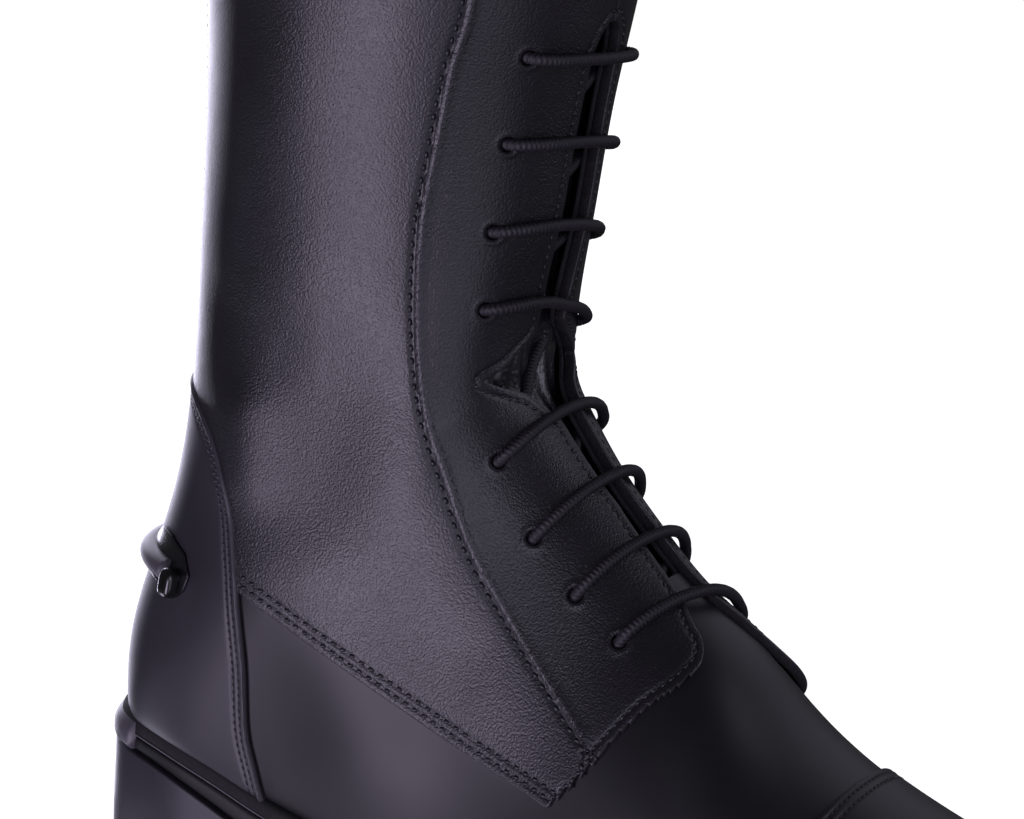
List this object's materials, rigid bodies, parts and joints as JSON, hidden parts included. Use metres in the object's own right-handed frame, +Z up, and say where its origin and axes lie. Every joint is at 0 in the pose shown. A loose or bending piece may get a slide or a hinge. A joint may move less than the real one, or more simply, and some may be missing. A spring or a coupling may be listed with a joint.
{
  "type": "riding boot",
  "caption": "Tall black leather riding boot with a laced ankle, toe cap, heel counter, spur rest and back zip.",
  "frame": {"origin": "centre of the heel's ground face", "axes": "+X to the toe, +Z up along the shaft, +Y to the inner side of this right boot, so -Y is the outer side that the picture shows"},
  "size_m": [0.2793, 0.1108, 0.4801],
  "materials": {
    "upper_leather": "fine grained, soft sheen",
    "smooth_leather": "smooth, waxed",
    "lining": "matt",
    "welt": "satin",
    "sole_rubber": "matt",
    "heel_stack": "satin",
    "lace_cord": "round braid",
    "zip_tape": "woven tape with small teeth"
  },
  "bodies": {
    "root": {"upper": "upper_leather", "toe_cap": "smooth_leather", "heel_counter": "smooth_leather", "tongue": "upper_leather", "insole": "lining", "welt": "welt", "outsole": "sole_rubber", "heel_block": "heel_stack", "heel_top_piece": "sole_rubber", "lace": "lace_cord", "back_zip": "zip_tape", "back_tab": "smooth_leather", "spur_rest": "smooth_leather"}
  },
  "joints": []
}
